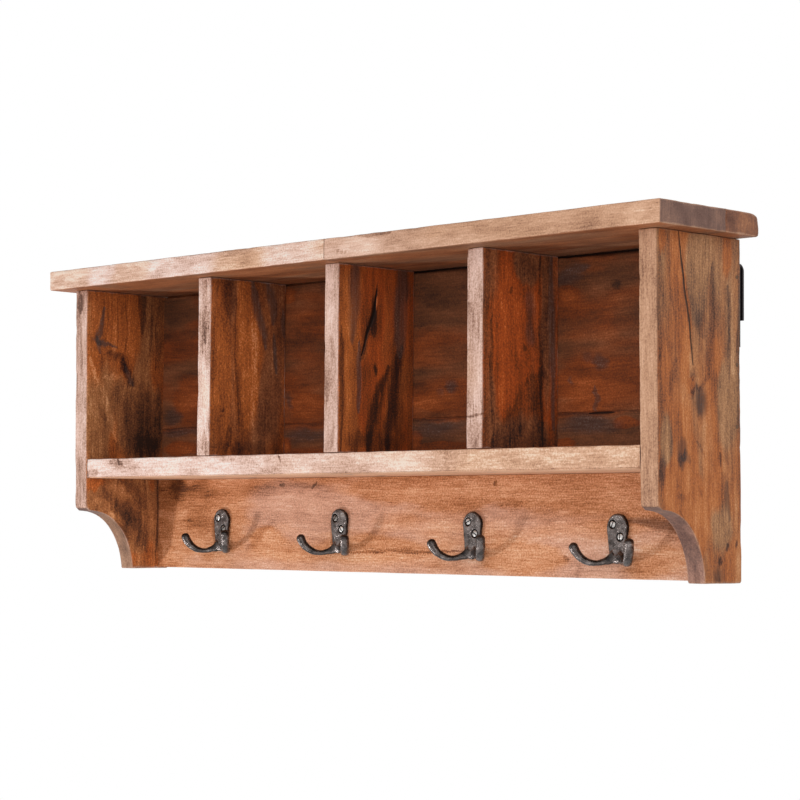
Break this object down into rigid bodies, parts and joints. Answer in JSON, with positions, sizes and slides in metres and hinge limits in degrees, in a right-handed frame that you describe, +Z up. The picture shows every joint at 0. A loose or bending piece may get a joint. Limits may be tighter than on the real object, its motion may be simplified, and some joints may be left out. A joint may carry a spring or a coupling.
{
  "type": "wall coat rack",
  "caption": "Rustic wall coat rack of solid boards: a row of open cubbies under an overhanging top, coved side panels, and a rail of cast double hooks below.",
  "frame": {"origin": "on the wall, midway between the round holes of the two hangers' keyholes", "axes": "+X right along the rack, +Y into the wall, +Z up; the front faces -Y"},
  "size_m": [0.9, 0.1515, 0.34],
  "materials": {
    "reclaimed_wood": "old boards, sanded and waxed",
    "wood_filler": "matt filler",
    "dowel_wood": "raw beech",
    "cast_iron": "dark bronze-black, worn on the high spots",
    "zinc_steel": "bright zinc",
    "black_steel": "satin black"
  },
  "bodies": {
    "root": {"top_front_left_plank": "reclaimed_wood", "top_front_right_plank": "reclaimed_wood", "top_rear_plank": "reclaimed_wood", "left_side_panel": "reclaimed_wood", "right_side_panel": "reclaimed_wood", "left_divider": "reclaimed_wood", "middle_divider": "reclaimed_wood", "right_divider": "reclaimed_wood", "shelf": "reclaimed_wood", "upper_back_plank": "reclaimed_wood", "lower_back_plank": "reclaimed_wood", "hook_rail": "reclaimed_wood", "coat_hook_1": "cast_iron", "coat_hook_2": "cast_iron", "coat_hook_3": "cast_iron", "coat_hook_4": "cast_iron", "left_hanger": "black_steel", "right_hanger": "black_steel", "hook_screws": "zinc_steel", "hanger_screws": "zinc_steel", "shelf_screws": "zinc_steel", "rail_screws": "zinc_steel", "divider_screws": "zinc_steel", "back_nails": "zinc_steel", "screw_plugs": "wood_filler", "top_dowels": "dowel_wood"}
  },
  "joints": []
}
